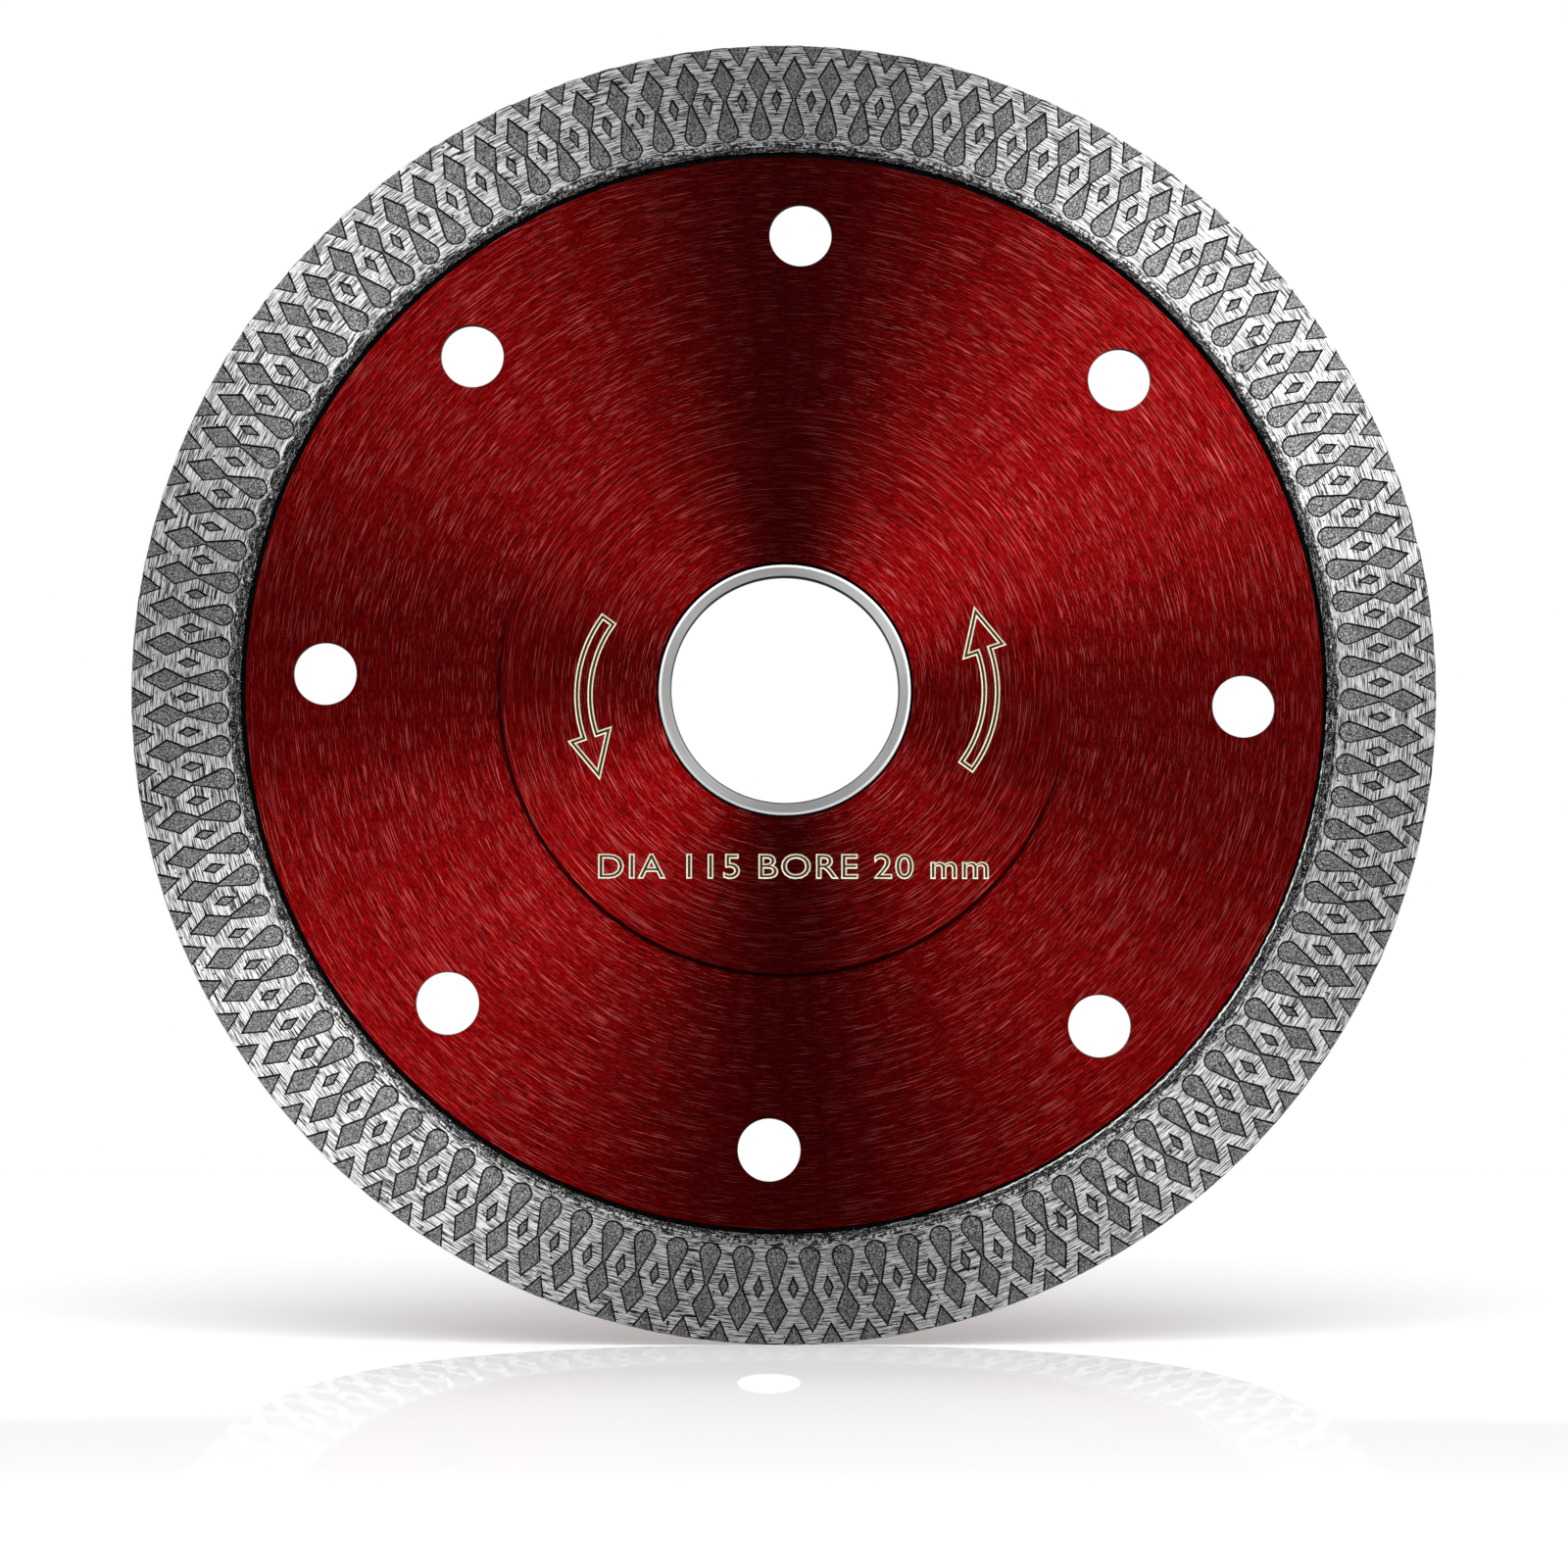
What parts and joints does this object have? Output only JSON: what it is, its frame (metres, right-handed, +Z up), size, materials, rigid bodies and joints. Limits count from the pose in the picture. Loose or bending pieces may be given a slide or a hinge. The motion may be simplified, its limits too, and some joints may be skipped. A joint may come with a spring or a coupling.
{
  "type": "diamond blade",
  "caption": "Round mesh-turbo diamond blade: a thin steel core with cooling holes, flanged hub, sintered rim and a loose reducing bush in the bore.",
  "frame": {"origin": "centre of the bore, in the middle of the core's thickness", "axes": "+Y is the spin axis and points out of the unmarked rear face; the marked front face looks along -Y; +Z is up, as the blade stands on its rim"},
  "size_m": [0.115, 0.0016, 0.115],
  "materials": {
    "red_lacquer": "translucent red lacquer over circular-brushed steel",
    "sintered_rim": "sintered metal and diamond grit, with ground rib tops and granular pockets",
    "bond_metal": "rough dark sintered metal",
    "bright_steel": "turned bare steel"
  },
  "bodies": {
    "blade": {"core": "red_lacquer", "diamond_rim": "sintered_rim", "bond_seam_front": "bond_metal", "bond_seam_rear": "bond_metal", "flange_front": "red_lacquer", "flange_rear": "red_lacquer"},
    "bush": {"reducing_bush": "bright_steel"}
  },
  "joints": [
    {"name": "bush_slide", "type": "slide", "parent": "blade", "child": "bush", "axis": [0, -1, 0], "range_m": [0, 0.012]}
  ]
}
